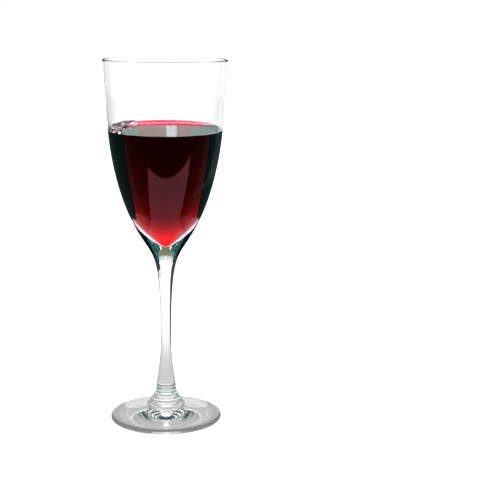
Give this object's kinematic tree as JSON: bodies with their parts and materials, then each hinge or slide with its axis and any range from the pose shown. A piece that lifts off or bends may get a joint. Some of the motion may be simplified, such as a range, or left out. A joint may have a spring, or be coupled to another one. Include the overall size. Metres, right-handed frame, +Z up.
{
  "type": "stemmed glass of red wine",
  "caption": "Stemmed drinking glass with a tall tapered bowl, turned rings above a flat foot, and red wine in the bowl.",
  "frame": {"origin": "centre of the foot, on the surface that the glass stands on", "axes": "+Z up along the stem, and the glass is round about it; X and Y lie in the surface"},
  "size_m": [0.076, 0.076, 0.225],
  "materials": {
    "glass": "clear blown glass, smooth and polished",
    "wine": "deep red wine, clear, nearly black where it is deep and crimson where it is thin"
  },
  "bodies": {
    "root": {"glass": "glass", "wine": "wine"}
  },
  "joints": []
}
